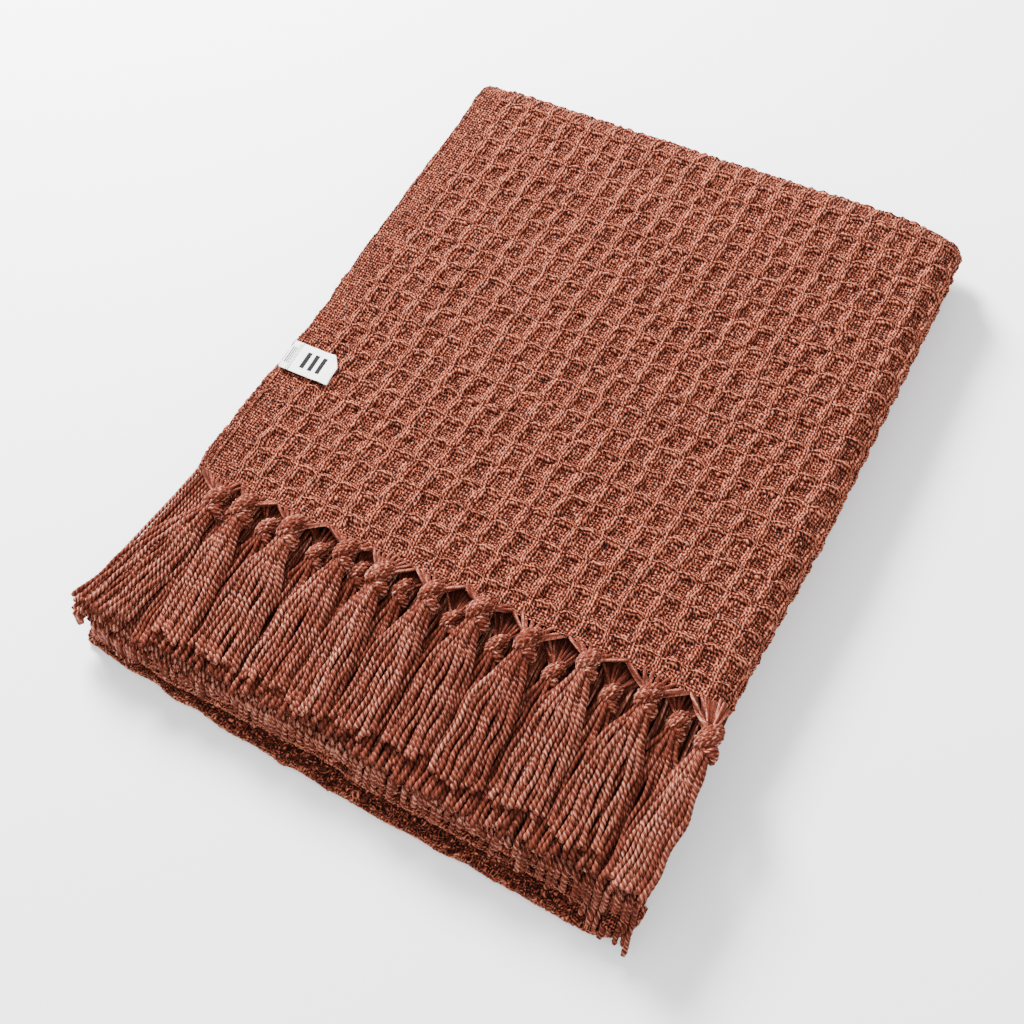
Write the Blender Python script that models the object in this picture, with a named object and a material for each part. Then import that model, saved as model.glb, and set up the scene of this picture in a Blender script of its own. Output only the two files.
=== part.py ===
"""A woven throw blanket with knotted fringes, folded into a flat packet.

The throw is folded in half along its length, in half across its width twice, and
then in half along its length again. So the packet has two halves joined by a big
fold at the back. Each half is four leaves, and each leaf is two plies of cloth.
The upper half ends in front in knotted fringes, and the lower half in four thin
fold lips. The packet lies on z = 0. +X is its width, from the selvedge on the
left to the side fold on the right, and +Y runs from the fringes to the back fold.
"""

import math

import bmesh
import bpy

# Driving dimensions, in metres.
PANEL_WIDTH = 0.325        # selvedge to side fold: a quarter of the throw's width
PACKET_DEPTH = 0.463       # frontmost lip to the outside of the back fold
TOP_LENGTH = 0.335         # cloth end at the fringe to the outside of the back fold
LEAF_THICKNESS = 0.005     # two plies of waffle cloth, pressed together
LEAVES = 4                 # leaves in each half
GAP = 0.0003               # clearance between pieces that touch

SPLAY_LEFT = 0.0315        # how far the first tassel leans out past the selvedge
SPLAY_RIGHT = 0.004        # how far the last tassel stands out past the side fold
UPPER_SLIPS = (0.0, 0.008, 0.005, 0.006)     # how far each upper leaf slips out, front left
LOWER_SLIPS = (0.013, 0.017, 0.021, 0.025)   # the same for the lower leaves
LIP_STEPS = (0.017, 0.014, 0.010, 0.0)       # each lower lip's distance behind the frontmost
LIP_BOW = 0.016            # how far a lip's left end lies behind its foremost point
LIP_PEAK = 0.6             # where along the lip that foremost point is

KNOT_WIDTH = 0.013         # across a fringe knot
KNOT_LENGTH = 0.014        # along a fringe knot
KNOT_HEIGHT = 0.012        # through a fringe knot
KNOT_PLACES = (0.040, 0.095, 0.193, 0.303, 0.378, 0.473, 0.562, 0.658, 0.762, 0.872, 0.985)
KNOT_SLIPS = (0.006, 0.003, 0.003, 0.002, 0.006, 0.003, 0.0, 0.005, 0.001, 0.005, 0.012)
TASSEL_LENGTH = 0.088      # middle of the knot to the cut ends
TASSEL_THICKNESS = 0.0065  # through a tassel of the top row
FRINGE_DROP = 0.006        # how far the fringe sinks from knots to cut ends
UNDER_THICKNESS = 0.0048   # through a tassel of the second row
UNDER_STEP = 0.005         # how far the second row reaches past the top row
FRINGE_STEP = 0.003        # how far each leaf's fringe reaches past the one above
KNOT_RISE = 0.0015         # middle of a knot above the cloth's top
KNOT_SINK = 0.001          # underside of the top row below the cloth's top, at the knots
TIP_THINNING = 0.35        # share of its thickness that a top tassel loses by its cut ends
SWING_ROOM = 0.55          # middle of a knot to its tassel's root, in knot sizes
FAN = ((0.0, 0.16), (0.12, 0.42), (0.35, 0.74), (0.70, 0.94), (1.0, 1.0))
# Each pair of FAN is a share of a tassel's length and the share of its width there.

LABEL_LENGTH = 0.031       # selvedge to the loop's end
LABEL_WIDTH = 0.020        # across the ribbon
LABEL_THICKNESS = 0.0008   # two layers of ribbon
LABEL_FROM_BACK = 0.2465   # outside of the back fold to the label's middle
LABEL_SEWN = 0.003         # length of ribbon held under the stitches
LABEL_CORNER = 0.0044      # length of the slant at the loop's free corners
STITCH_THICKNESS = 0.0005  # sewing thread over the ribbon

# What follows from them.
HALF_THICKNESS = LEAVES * LEAF_THICKNESS + (LEAVES - 1) * GAP
THICKNESS = 2 * HALF_THICKNESS + GAP
MIDDLE = THICKNESS / 2
SIDE_RADIUS = HALF_THICKNESS / 2
OVERALL_WIDTH = SPLAY_LEFT + PANEL_WIDTH + SPLAY_RIGHT
LEFT = SPLAY_LEFT - OVERALL_WIDTH / 2
RIGHT = LEFT + PANEL_WIDTH
BACK = PACKET_DEPTH / 2
FRONT = BACK - PACKET_DEPTH
CLOTH_END = BACK - TOP_LENGTH
FOLD_START = BACK - MIDDLE
KNOT_Y = CLOTH_END - GAP - KNOT_LENGTH / 2
KNOT_Z = THICKNESS + KNOT_RISE
TIPS_Y = KNOT_Y - TASSEL_LENGTH

# How finely and how roundly the pieces are made.
LIP_STEPS_ACROSS = 10
SIDE_FOLD_STEPS = 10
BACK_FOLD_STEPS = 8
TASSEL_SIDES = 10
SMOOTH_BELOW = math.radians(40)
BEVEL_ABOVE = math.radians(50)
LEAF_ROUNDING = 0.45       # a leaf's edge radius, as a share of its thickness
FRINGE_ROUNDING = 0.15     # a lower fringe's edge radius, as a share of a leaf's thickness

TERRACOTTA = (0.34, 0.088, 0.048)
DEEP_TERRACOTTA = (0.25, 0.060, 0.033)
PALE_TERRACOTTA = (0.42, 0.125, 0.075)
RIBBON_WHITE = (0.84, 0.84, 0.83)
THREAD_GREY = (0.70, 0.69, 0.67)


def clear_scene():
    """Remove every object that the scene starts with."""
    for item in list(bpy.data.objects):
        bpy.data.objects.remove(item, do_unlink=True)


def make_material(name, colour, roughness):
    """A Principled material of one colour, not metallic."""
    material = bpy.data.materials.new(name)
    material.use_nodes = True
    shader = material.node_tree.nodes["Principled BSDF"]
    shader.inputs["Base Color"].default_value = (*colour, 1.0)
    shader.inputs["Roughness"].default_value = roughness
    shader.inputs["Metallic"].default_value = 0.0
    material.diffuse_color = (*colour, 1.0)
    return material


def make_pivot(name, place, parent=None):
    """An empty on a joint's axis, which the moving pieces hang from."""
    pivot = bpy.data.objects.new(name, None)
    bpy.context.scene.collection.objects.link(pivot)
    pivot.empty_display_size = 0.02
    attach(pivot, place, parent)
    return pivot


def attach(item, place, parent):
    """Put an object at a place in the packet's frame, under its parent."""
    anchor = world_place(parent)
    item.parent = parent
    item.location = [value - base for value, base in zip(place, anchor)]


def world_place(item):
    """Where an object stands, adding up its own place and its parents'."""
    total = [0.0, 0.0, 0.0]
    while item is not None:
        total = [value + step for value, step in zip(total, item.location)]
        item = item.parent
    return total


def make_piece(name, points, faces, colour, place=(0.0, 0.0, 0.0), parent=None):
    """A closed solid from its points, in the packet's frame, with its origin at place."""
    mesh = bpy.data.meshes.new(name)
    local = [[value - base for value, base in zip(point, place)] for point in points]
    mesh.from_pydata(local, [], faces)
    solid = bmesh.new()
    solid.from_mesh(mesh)
    bmesh.ops.recalc_face_normals(solid, faces=solid.faces)
    solid.to_mesh(mesh)
    solid.free()
    mesh.materials.append(make_material(name, colour, 0.9))
    mesh.shade_smooth()
    mesh.set_sharp_from_angle(angle=SMOOTH_BELOW)
    item = bpy.data.objects.new(name, mesh)
    bpy.context.scene.collection.objects.link(item)
    attach(item, place, parent)
    return item


def loft(rings):
    """Faces that join equal rings of points one after another, with both ends closed."""
    count = len(rings[0])
    points = [point for ring in rings for point in ring]
    faces = [tuple(range(count)), tuple(range(len(points) - count, len(points)))]
    for row in range(len(rings) - 1):
        for step in range(count):
            low = row * count + step
            side = row * count + (step + 1) % count
            faces.append((low, side, side + count, low + count))
    return points, faces


def round_edges(item, width, segments):
    """Round a piece's sharp edges with a bevel of the given width."""
    bevel = item.modifiers.new("rounded_edges", "BEVEL")
    bevel.width = width
    bevel.segments = segments
    bevel.limit_method = "ANGLE"
    bevel.angle_limit = BEVEL_ABOVE


def make_leaf(name, outline, bottom, parent=None):
    """A leaf of cloth: an outline raised by the leaf's thickness, its edges half round."""
    rings = [[(x, y, z) for x, y in outline] for z in (bottom, bottom + LEAF_THICKNESS)]
    points, faces = loft(rings)
    leaf = make_piece(name, points, faces, TERRACOTTA, parent=parent)
    round_edges(leaf, LEAF_THICKNESS * LEAF_ROUNDING, 3)
    return leaf


def make_upper_leaf(number, parent):
    """An upper leaf, from the fringe to the back fold; a lower leaf slips out front left."""
    slip = UPPER_SLIPS[number]
    side = RIGHT - SIDE_RADIUS - GAP
    outline = [(LEFT - slip, CLOTH_END), (side, CLOTH_END),
               (side, FOLD_START - GAP), (LEFT, FOLD_START - GAP)]
    bottom = THICKNESS - LEAF_THICKNESS - number * (LEAF_THICKNESS + GAP)
    return make_leaf(f"cloth_upper_leaf_{number + 1}", outline, bottom, parent)


def lip_line(x):
    """The frontmost lip's line seen from above: a parabola, foremost at its peak."""
    share = (x - LEFT) / PANEL_WIDTH
    return FRONT + LIP_BOW * ((share - LIP_PEAK) / LIP_PEAK) ** 2


def make_lower_leaf(number):
    """A lower leaf, whose front end is a fold lip; the ones below reach further out."""
    corner = LEFT - LOWER_SLIPS[number]
    side = RIGHT - SIDE_RADIUS - GAP
    outline = [(side, FOLD_START - GAP), (LEFT, FOLD_START - GAP)]
    for step in range(LIP_STEPS_ACROSS + 1):
        x = corner + (side - corner) * step / LIP_STEPS_ACROSS
        outline.append((x, lip_line(x) + LIP_STEPS[number]))
    bottom = HALF_THICKNESS - LEAF_THICKNESS - number * (LEAF_THICKNESS + GAP)
    return make_leaf(f"cloth_lower_leaf_{number + 1}", outline, bottom)


def make_side_fold(name, bottom, front, parent=None):
    """The fold on the right that joins a half's leaves: a half-round bar along Y."""
    profile = []
    for step in range(SIDE_FOLD_STEPS + 1):
        angle = math.pi * (step / SIDE_FOLD_STEPS - 0.5)
        x = RIGHT - SIDE_RADIUS + SIDE_RADIUS * math.cos(angle)
        z = bottom + SIDE_RADIUS + SIDE_RADIUS * math.sin(angle)
        profile.append((x, z))
    rings = [[(x, y, z) for x, z in profile] for y in (front, FOLD_START - GAP)]
    points, faces = loft(rings)
    return make_piece(name, points, faces, TERRACOTTA, parent=parent)


def make_back_fold(name, upward, parent=None):
    """Half of the big back fold: a quarter-round bar along X, closing round at its right end."""
    level = MIDDLE + upward * GAP / 2
    radius = MIDDLE - GAP / 2
    depth = BACK - FOLD_START
    shrink = [(LEFT, 1.0), (RIGHT - SIDE_RADIUS * 2, 1.0)]
    for step in range(1, BACK_FOLD_STEPS):
        angle = 0.5 * math.pi * step / BACK_FOLD_STEPS
        shrink.append((RIGHT - SIDE_RADIUS * 2 * (1 - math.sin(angle)), math.cos(angle)))
    rings = []
    for x, share in shrink:
        ring = [(x, FOLD_START, level)]
        for step in range(BACK_FOLD_STEPS + 1):
            angle = 0.5 * math.pi * step / BACK_FOLD_STEPS
            y = FOLD_START + depth * share * math.cos(angle)
            z = level + upward * radius * share * math.sin(angle)
            ring.append((x, y, z))
        rings.append(ring)
    points, faces = loft(rings)
    return make_piece(name, points, faces, TERRACOTTA, parent=parent)


def make_knot(name, middle, size, parent):
    """A fringe knot: a plump ball, longer than it is wide."""
    solid = bmesh.new()
    bmesh.ops.create_icosphere(solid, subdivisions=2, radius=0.5)
    points = [tuple(base + share * value for base, share, value in zip(middle, size, vert.co))
              for vert in solid.verts]
    faces = [tuple(vert.index for vert in face.verts) for face in solid.faces]
    solid.free()
    return make_piece(name, points, faces, PALE_TERRACOTTA, parent=parent)


def fringe_floor(y):
    """Height of the top row's underside, which sinks from the knots to the cut ends."""
    share = (KNOT_Y - y) / TASSEL_LENGTH
    return THICKNESS - KNOT_SINK - FRINGE_DROP * min(max(share, 0.0), 1.0)


def knot_middles():
    """The middle of each top knot: spread along the cloth's end, some slipped forward."""
    return [(LEFT + PANEL_WIDTH * place, KNOT_Y - slip, KNOT_Z)
            for place, slip in zip(KNOT_PLACES, KNOT_SLIPS)]


def slot_edges(knots):
    """Where each top tassel's strip of the front edge begins and ends."""
    inner = [(one[0] + two[0]) / 2 for one, two in zip(knots, knots[1:])]
    return [LEFT - SPLAY_LEFT] + inner + [RIGHT + SPLAY_RIGHT]


def tassel_rings(root_x, left, right, start, end, layer):
    """Flat oval rings from a narrow root to a wide cut end; layer gives bottom and top at y."""
    widening = 1 / math.cos(math.pi / TASSEL_SIDES)
    rings = []
    for share, spread in FAN:
        y = start + (end - start) * share
        low = root_x + (left - root_x) * spread
        high = root_x + (right - root_x) * spread
        bottom, top = layer(y, share)
        ring = []
        for side in range(TASSEL_SIDES):
            angle = 2 * math.pi * (side + 0.5) / TASSEL_SIDES
            x = (low + high) / 2 + (high - low) / 2 * math.cos(angle) * widening
            z = (bottom + top) / 2 + (top - bottom) / 2 * math.sin(angle)
            ring.append((x, y, z))
        rings.append(ring)
    return rings


def make_top_tassel(number, knot, left, right, parent):
    """A tassel of the top row, which swings at the middle of its knot."""
    reach = SWING_ROOM * max(KNOT_LENGTH, KNOT_HEIGHT)
    name = f"top_tassel_{number:02d}"
    hub = make_pivot(f"pivot_{name}", knot, parent)

    def layer(y, share):
        bottom = fringe_floor(y)
        return bottom, bottom + TASSEL_THICKNESS * (1.0 - TIP_THINNING * share)

    start, end = knot[1] - reach, knot[1] - TASSEL_LENGTH
    rings = tassel_rings(knot[0], left + GAP, right - GAP, start, end, layer)
    points, faces = loft(rings)
    return make_piece(name, points, faces, PALE_TERRACOTTA, knot, hub)


def make_under_tassel(number, left, right, parent):
    """A tassel of the second row with its flattened knot, lying under the top row."""
    root_x = (left + right) / 2

    def layer(y, share):
        top = fringe_floor(y) - GAP
        return top - UNDER_THICKNESS, top

    start = CLOTH_END - GAP
    rings = tassel_rings(root_x, left + GAP, right - GAP, start, TIPS_Y - UNDER_STEP, layer)
    points, faces = loft(rings)
    return make_piece(f"under_tassel_{number:02d}", points, faces, TERRACOTTA, parent=parent)


def make_leaf_fringe(number, parent):
    """The two fringe rows of one of the leaves below the top one, as one thin wedge."""
    left = LEFT - UPPER_SLIPS[number]
    side = RIGHT - GAP
    rings = []
    for y in (CLOTH_END - GAP, TIPS_Y - UNDER_STEP - FRINGE_STEP * number):
        low = HALF_THICKNESS + GAP
        high = fringe_floor(y) - UNDER_THICKNESS - 2 * GAP
        step = (high - low + GAP) / (LEAVES - 1)
        bottom = low + step * (LEAVES - 1 - number)
        top = bottom + step - GAP
        rings.append([(left, y, bottom), (side, y, bottom), (side, y, top), (left, y, top)])
    points, faces = loft(rings)
    fringe = make_piece(f"fringe_of_leaf_{number + 1}", points, faces, DEEP_TERRACOTTA,
                        parent=parent)
    round_edges(fringe, LEAF_THICKNESS * FRINGE_ROUNDING, 2)
    return fringe


def make_label(parent):
    """The ribbon loop: its end sewn at the selvedge, its free flap, and the stitches."""
    middle = BACK - LABEL_FROM_BACK
    near = middle - LABEL_WIDTH / 2
    far = middle + LABEL_WIDTH / 2
    bottom = THICKNESS + GAP
    top = bottom + LABEL_THICKNESS
    sewn = LEFT + LABEL_SEWN
    end = LEFT + LABEL_LENGTH
    seam = (sewn, middle, top + GAP + STITCH_THICKNESS)
    hub = make_pivot("pivot_label_flap", seam, parent)

    def plate(name, outline, low, high, colour, place, holder):
        rings = [[(x, y, z) for x, y in outline] for z in (low, high)]
        points, faces = loft(rings)
        return make_piece(name, points, faces, colour, place, holder)

    plate("label_sewn_end", [(LEFT, near), (sewn, near), (sewn, far), (LEFT, far)],
          bottom, top, RIBBON_WHITE, (0.0, 0.0, 0.0), parent)
    slant = end - LABEL_CORNER / 2
    flap = [(sewn + GAP, near), (slant, near), (end, near + LABEL_CORNER),
            (end, far - LABEL_CORNER), (slant, far), (sewn + GAP, far)]
    plate("label_flap", flap, bottom, top, RIBBON_WHITE, seam, hub)
    inset = LABEL_SEWN / 4
    bar = [(LEFT + inset, near + inset), (sewn - inset, near + inset),
           (sewn - inset, far - inset), (LEFT + inset, far - inset)]
    plate("label_stitches", bar, top + GAP, top + GAP + STITCH_THICKNESS, THREAD_GREY,
          (0.0, 0.0, 0.0), parent)


def make_throw():
    """Every piece of the packet, the upper half under its own pivot."""
    clear_scene()
    upper = make_pivot("pivot_upper_half", (0.0, BACK, MIDDLE))
    for number in range(LEAVES):
        make_upper_leaf(number, upper)
        make_lower_leaf(number)
    make_side_fold("side_fold_upper", HALF_THICKNESS + GAP, CLOTH_END, upper)
    make_side_fold("side_fold_lower", 0.0, lip_line(RIGHT) + LIP_STEPS[-2])
    make_back_fold("back_fold_upper", 1, upper)
    make_back_fold("back_fold_lower", -1)

    knots = knot_middles()
    edges = slot_edges(knots)
    for number, knot in enumerate(knots):
        size = (KNOT_WIDTH, KNOT_LENGTH, KNOT_HEIGHT)
        make_knot(f"top_knot_{number + 1:02d}", knot, size, upper)
        make_top_tassel(number + 1, knot, edges[number], edges[number + 1], upper)
    for number, (left, right) in enumerate(zip(knots, knots[1:])):
        make_under_tassel(number + 1, left[0], right[0], upper)
    for number in range(1, LEAVES):
        make_leaf_fringe(number, upper)
    make_label(upper)


make_throw()
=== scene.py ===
import math

import bpy
import numpy as np
from mathutils import Matrix, Vector


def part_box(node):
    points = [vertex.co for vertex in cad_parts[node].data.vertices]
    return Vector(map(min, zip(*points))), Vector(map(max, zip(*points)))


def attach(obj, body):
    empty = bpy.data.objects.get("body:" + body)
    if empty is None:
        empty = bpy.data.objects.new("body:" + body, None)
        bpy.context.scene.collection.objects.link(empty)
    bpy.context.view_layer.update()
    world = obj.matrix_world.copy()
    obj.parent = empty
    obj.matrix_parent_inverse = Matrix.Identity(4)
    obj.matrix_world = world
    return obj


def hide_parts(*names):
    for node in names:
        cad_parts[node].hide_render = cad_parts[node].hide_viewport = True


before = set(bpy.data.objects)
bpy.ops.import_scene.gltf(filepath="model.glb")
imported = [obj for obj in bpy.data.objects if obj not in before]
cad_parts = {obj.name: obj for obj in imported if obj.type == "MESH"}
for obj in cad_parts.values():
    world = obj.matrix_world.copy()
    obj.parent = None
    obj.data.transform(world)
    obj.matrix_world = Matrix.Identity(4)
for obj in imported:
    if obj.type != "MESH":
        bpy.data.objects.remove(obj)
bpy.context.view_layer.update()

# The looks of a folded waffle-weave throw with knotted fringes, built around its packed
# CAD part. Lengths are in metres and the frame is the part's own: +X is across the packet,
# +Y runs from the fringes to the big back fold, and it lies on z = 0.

# ---------------------------------------------------------------- sizes from the frame

LEFT, CLOTH_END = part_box("cloth_upper_leaf_1")[0][:2]
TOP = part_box("cloth_upper_leaf_1")[1][2]
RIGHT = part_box("side_fold_upper")[1][0]
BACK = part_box("back_fold_upper")[1][1]
MIDDLE = TOP / 2
HALF = TOP - MIDDLE
SIDE_RADIUS = HALF / 2
FOLD_START = BACK - HALF
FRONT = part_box("cloth_lower_leaf_4")[0][1]
KNOTS = 11
LEAVES = 4

# ---------------------------------------------------------------- sizes of the weave

ENDS = 8                    # warp yarns in one waffle cell
PICKS = 9                   # weft yarns in one waffle cell
WARP_PITCH = 0.0145 / ENDS
WEFT_PITCH = 0.0160 / PICKS
FIRST_RIDGE = 13            # number of the warp yarn in the middle of the first ridge
FIRST_RIB = 6               # number of the weft yarn in the middle of the first rib
BORDER = 9                  # warp yarns of plain weave along the selvedge
DEEP_IN = 10 * PICKS        # number of a weft yarn well inside the cloth, clear of its end
YARN_RISE = 0.00085         # crown of a yarn over the groove beside it
YARN_SWAY = 0.75            # how far a yarn rises and dips, in crowns
CREST = 0.0010              # top of a ridge over the nominal cloth
FLOOR = -0.0015             # middle of a cell under the nominal cloth
PLAIN = -0.0004             # plain border under the nominal cloth
STEP = 1 / 3                # yarns from one point of the fine cloth to the next
UNDER_SINK = 0.0012         # outer cloth of the lower half inside its nominal place
INNER_SINK = 0.0024         # cloth of the inner faces behind the middle plane
CORD = 0.00125              # radius of a fringe cord
TWIST = 0.0058              # length of one full turn of a cord's two plies

LEAF = 0.005                # thickness of a leaf of two plies
LEAF_PITCH = LEAF + 0.0003  # from one leaf to the next
EDGE_STEP = 0.0009          # from one point of a leaf's edge to the next
EDGE_GAP = 0.0002           # how much less than the leaf's half thickness its edge's radius is
GROOVE = 0.0009             # depth of the groove between the two plies along a selvedge
UPPER_REACH = 0.010         # how far over its leaf an upper edge's cloth reaches, but for the top one
LOWER_REACH = 0.008         # the same for a lower edge
LOWEST_REACH = 0.014        # the same for the lowest edge
EDGE_RELIEF = 0.80          # share of the yarns' relief left in a pressed edge
EDGE_PALE = 0.26            # how much paler an edge is along its outermost line
EDGE_SHADE = 0.13           # how much darker the cloth is just inside an edge
UPPER_SLIPS = (0.0, 0.009, 0.007, 0.008)       # how far each upper leaf slips out, front left
LOWER_SLIPS = (0.020, 0.023, 0.026, 0.030)     # the same for the lower leaves
SLIP_BEHIND = (0.0, 0.004, 0.002, 0.003)       # how far each upper leaf slips out behind
LOWER_SLIP_BEHIND = (0.009, 0.010, 0.008, 0.010)   # the same for the lower leaves
LIP_STEPS = (0.017, 0.014, 0.010, 0.0)         # each lip's distance behind the frontmost
LIP_BACK = 0.005            # the frontmost lip behind the front of its nominal place
LIP_BOW = 0.011             # how far a lip's left end lies behind its foremost point
LIP_PEAK = 0.85             # where along the lip that foremost point is
UNDER_LIP = 0.003           # front end of the cloth underneath behind the frontmost lip

KNOT_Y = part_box("top_knot_07")[0][1] / 2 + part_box("top_knot_07")[1][1] / 2
TASSEL_LENGTH = KNOT_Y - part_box("top_tassel_07")[0][1]
KNOT_SINK = 0.001           # underside of the top row below the cloth's top, at the knots
FRINGE_DROP = 0.006         # how far the fringe sinks from knots to cut ends
UNDER_THICKNESS = 0.0048    # through the second row
UNDER_LIFT = 0.0012         # how far the second row is pressed up into the top one
ROWS_OVER = 0.0012          # the lower rows' floor over the middle plane, as far as leaves lie under it
UNDER_KNOT = 0.0165         # how far in front of the cloth's end a knot of the second row lies
# A tassel of each of the two knotted rows: its cords, the rings and sides of a cord's mesh, the
# radius of the bundle at the knot, how high the cords arch up after it, and their tone. The second
# row's lower tone is painted shade under the top row.
TOP_ROW = {"count": 14, "rings": 100, "sides": 8, "root": 0.0033, "arch": 0.0014, "tone": 0.50}
SECOND_ROW = {"count": 12, "rings": 90, "sides": 6, "root": 0.0034, "arch": 0.0, "tone": 0.42}
LOWER_CORDS = 76            # cords in each row below
LEFT_CORDS = 11             # those of them that show along their whole length
FLARE = 0.033               # how far the lower rows fan out to the left at their ends
FRINGE_BACK = 0.0015        # how far behind the second lip the lowest row ends
HUNG_LOW = 0.0122           # height that the lowest row hangs down to at its ends
FRINGE_BACK_STEP = 0.003    # how much further back each row above it ends
FRINGE_ROOT = 0.003         # how far inside its leaf a lower cord begins
CORNER_HANG = 0.0130        # how much further out the rows hang at the right corner
TOP_SHORT = 0.955           # length of the top row's cords, in tassel lengths
GATHERED = 9                # warp yarns gathered into a knot, as they show
CORNER_END = 0.0185         # where the left corner's tassel ends, from its left side
CORNER_WIDTH = 0.038        # how wide that tassel fans out
LABEL_LIFT = 0.0010         # how high the cloth's yarns hold the label
LABEL_INSET = 0.0007        # how far inside the edge the label's sewn end begins
TURN = 2 * math.pi          # one full turn


def smooth(value):
    """The smooth step 3v^2 - 2v^3 of a value held between 0 and 1."""
    value = np.clip(value, 0.0, 1.0)
    return value * value * (3.0 - 2.0 * value)


def ripple(x, y, size, seed):
    """A smooth uneven field from -1 to 1: five sine waves of about the given size, summed."""
    rng = np.random.default_rng(seed)
    total = 0.0
    for _ in range(5):
        turn = rng.uniform(0, TURN)
        pace = TURN / (size * rng.uniform(0.7, 1.6))
        along = x * math.cos(turn) + y * math.sin(turn)
        total = total + np.sin(pace * along + rng.uniform(0, 6.28))
    return total / 3.2


# ---------------------------------------------------------------- materials

class Sum:
    """A socket in a material's maths: an operator on it adds a Math node and gives its output."""

    def __init__(self, sheet, socket):
        self.sheet = sheet
        self.socket = socket

    def math(self, operation, *others):
        """A Math node of this socket and the others."""
        return self.sheet.node("ShaderNodeMath", {"operation": operation}, [self, *others])

    def __add__(self, other):
        return self.math("ADD", other)

    __radd__ = __add__

    def __sub__(self, other):
        return self.math("SUBTRACT", other)

    def __rsub__(self, other):
        return self.sheet.node("ShaderNodeMath", {"operation": "SUBTRACT"}, [other, self])

    def __mul__(self, other):
        return self.math("MULTIPLY", other)

    __rmul__ = __mul__

    def sine(self):
        return self.math("SINE")

    def cosine(self):
        return self.math("COSINE")

    def clamped(self):
        return self.sheet.node("ShaderNodeClamp", {}, [self])


class Finish:
    """A material being made: nodes from one method, and a Principled shader to feed."""

    def __init__(self, name, roughness, sheen, tint):
        self.material = bpy.data.materials.new(name)
        self.material.use_nodes = True
        self.tree = self.material.node_tree
        self.shader = self.tree.nodes["Principled BSDF"]
        self.shader.inputs["Roughness"].default_value = roughness
        self.shader.inputs["Sheen Weight"].default_value = sheen
        self.shader.inputs["Sheen Roughness"].default_value = 0.45
        self.shader.inputs["Sheen Tint"].default_value = (*tint, 1.0)
        self.shader.inputs["Specular IOR Level"].default_value = 0.10

    def node(self, kind, settings, inputs, output=0):
        """Any node: its settings first, then the values or links of its sockets."""
        made = self.tree.nodes.new(kind)
        for key, value in settings.items():
            if key == "ramp":
                self.set_ramp(made.color_ramp, value)
            else:
                setattr(made, key, value)
        pairs = inputs.items() if isinstance(inputs, dict) else enumerate(inputs)
        for key, value in pairs:
            if isinstance(value, Sum):
                self.tree.links.new(value.socket, made.inputs[key])
            else:
                made.inputs[key].default_value = value
        return Sum(self, made.outputs[output])

    def set_ramp(self, ramp, stops):
        """A colour ramp's stops, as pairs of place and colour."""
        while len(ramp.elements) < len(stops):
            ramp.elements.new(0.5)
        for element, (place, colour) in zip(ramp.elements, stops):
            element.position = place
            element.color = (*colour, 1.0)

    def value(self, name):
        """A number carried by the piece's points."""
        return self.node("ShaderNodeAttribute", {"attribute_name": name}, {}, "Fac")

    def uv(self):
        """The piece's own UV pair, as two sums."""
        pair = self.node("ShaderNodeUVMap", {"uv_map": "weave"}, {})
        split = self.tree.nodes.new("ShaderNodeSeparateXYZ")
        self.tree.links.new(pair.socket, split.inputs[0])
        return Sum(self, split.outputs[0]), Sum(self, split.outputs[1])

    def vector(self, x, y, z=0.0):
        """Three numbers as a vector."""
        return self.node("ShaderNodeCombineXYZ", {}, [x, y, z])

    def noise(self, vector, scale, detail=2.0):
        """Smooth noise from 0 to 1."""
        return self.node("ShaderNodeTexNoise", {}, {"Vector": vector, "Scale": scale, "Detail": detail})

    def mix(self, share, one, two):
        """A colour between two, by share."""
        node = self.tree.nodes.new("ShaderNodeMix")
        node.data_type = "RGBA"
        for socket, value in ((node.inputs[0], share), (node.inputs[6], one), (node.inputs[7], two)):
            if isinstance(value, Sum):
                self.tree.links.new(value.socket, socket)
            else:
                socket.default_value = value if isinstance(value, float) else (*value, 1.0)
        return Sum(self, node.outputs[2])

    def feed(self, socket, value):
        """Link a result to the shader."""
        self.tree.links.new(value.socket, self.shader.inputs[socket])

    def bump(self, height, distance, strength):
        """Feed a height to the shader's normal."""
        made = self.node("ShaderNodeBump", {}, {"Height": height, "Distance": distance,
                                               "Strength": strength})
        self.feed("Normal", made)


# The cotton's colours and the ramps of both finishes: the dye's own colour in the middle, painted shade
# towards the pits and painted highlight towards the palest crowns.
DEEP = (0.006, 0.0010, 0.0005)
DARK = (0.048, 0.0062, 0.0024)
BODY = (0.165, 0.033, 0.0160)
PALE = (0.480, 0.162, 0.096)
# painted highlight: the palest colour of a cord's ramp
CORD_HIGHLIGHT = (0.700, 0.340, 0.250)
CORE = (0.150, 0.0300, 0.0145)
COTTON = [(0.0, DEEP), (0.28, DARK), (0.56, BODY), (1.0, PALE)]
CORDED = [(0.0, DEEP), (0.34, DARK), (0.62, CORE), (1.0, CORD_HIGHLIGHT)]


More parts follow.
